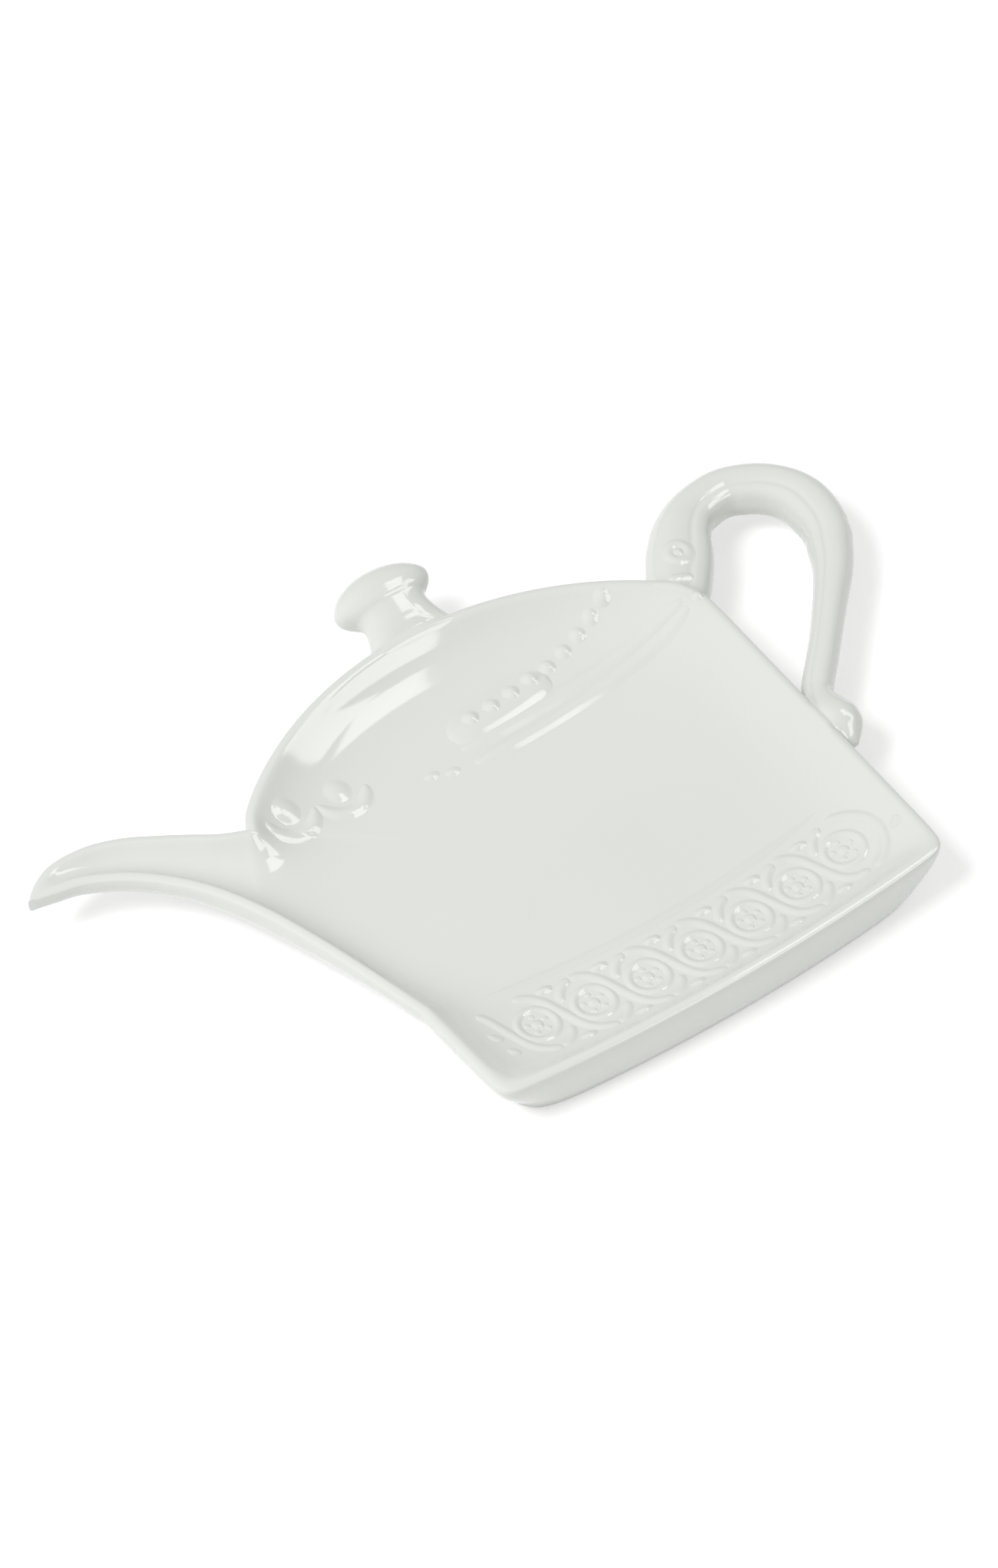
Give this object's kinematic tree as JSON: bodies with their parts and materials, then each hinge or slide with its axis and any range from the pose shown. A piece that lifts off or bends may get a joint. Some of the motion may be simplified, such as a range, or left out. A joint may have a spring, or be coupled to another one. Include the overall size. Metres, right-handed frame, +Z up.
{
  "type": "tea bag rest",
  "caption": "Shallow glazed porcelain dish in the outline of a teapot, with a spout trough, looped handle, lid knob and low relief borders, that holds a used tea bag.",
  "frame": {"origin": "on the table plane under the middle of the outline's box", "axes": "+X from the spout towards the handle, +Y from the base edge towards the knob, +Z up out of the dish"},
  "size_m": [0.1515, 0.0986, 0.016],
  "materials": {
    "glaze": "glossy white glaze over porcelain"
  },
  "bodies": {
    "root": {"body_dish": "glaze", "foot_ring": "glaze", "spout_trough": "glaze", "lid_knob": "glaze", "handle_scroll": "glaze", "handle_loop": "glaze", "handle_boss": "glaze", "border_rings": "glaze", "border_rosettes": "glaze", "border_strands": "glaze", "border_darts": "glaze", "border_end_leaves": "glaze", "border_edge_line": "glaze", "shoulder_reeds": "glaze", "shoulder_discs": "glaze", "shoulder_lobes": "glaze"}
  },
  "joints": []
}
